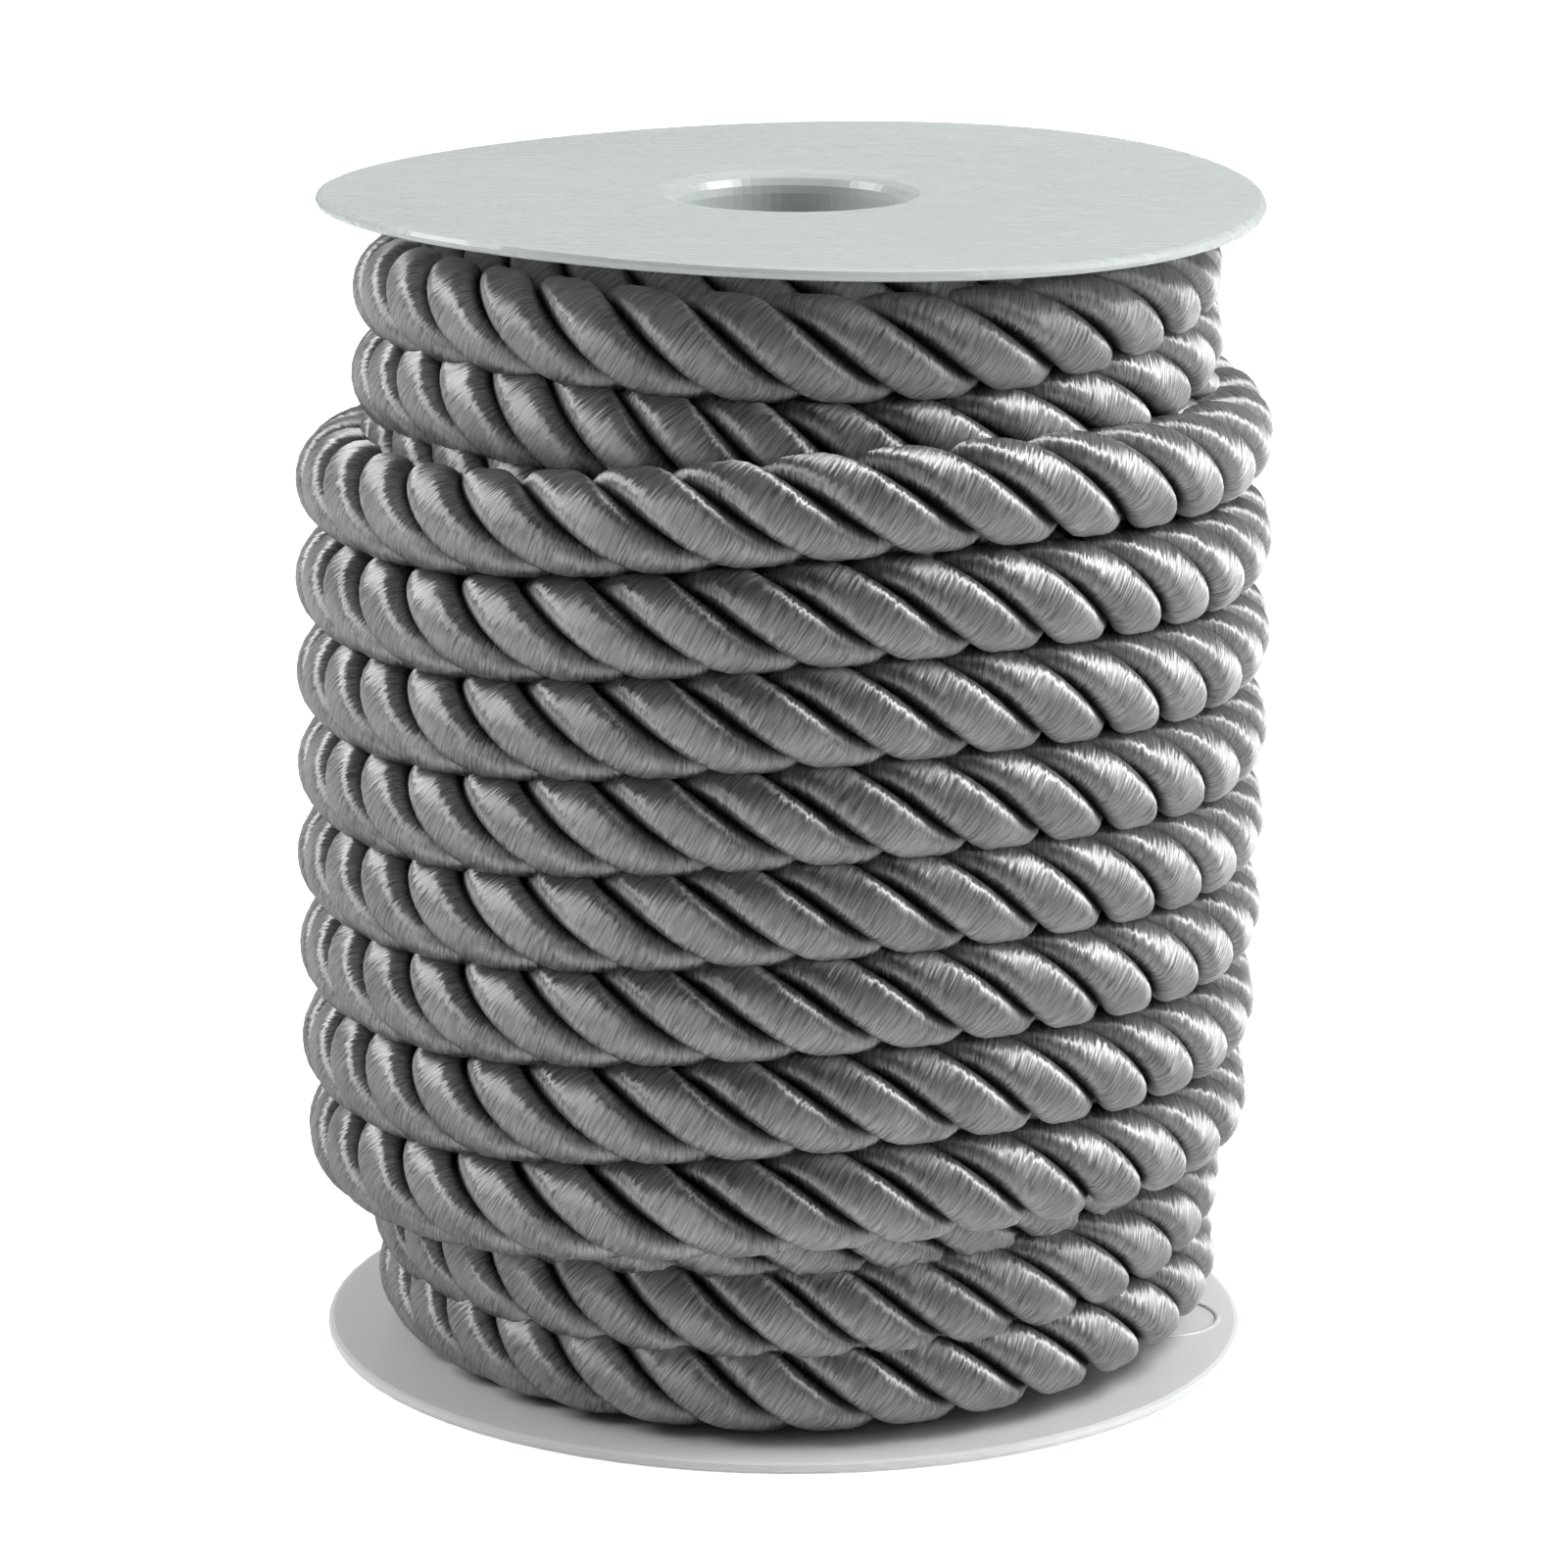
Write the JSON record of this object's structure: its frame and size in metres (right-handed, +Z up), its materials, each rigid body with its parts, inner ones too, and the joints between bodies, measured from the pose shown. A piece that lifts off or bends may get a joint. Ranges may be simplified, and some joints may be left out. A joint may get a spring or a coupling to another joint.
{
  "type": "twisted cord trim on a plastic spool",
  "caption": "Satin three-ply twisted cord trim wound in side-by-side turns on an upright round-flanged plastic spool with an open bore.",
  "frame": {"origin": "on the spool's axis, at the underside of the lower flange", "axes": "+Z up along the spool's axis; -Y towards the viewer of the winding's front; +X to that viewer's right"},
  "size_m": [0.0747, 0.075, 0.0906],
  "materials": {
    "spool_plastic": "thin moulded plastic, milky white with a faint cool tint, softly glossy, with a few specks and scratches",
    "satin_cord": "grey satin yarn wrapped round three plies, with streaky highlights across each ply"
  },
  "bodies": {
    "root": {"lower_flange": "spool_plastic", "core_tube": "spool_plastic", "upper_flange": "spool_plastic", "wound_cord": "satin_cord"}
  },
  "joints": []
}
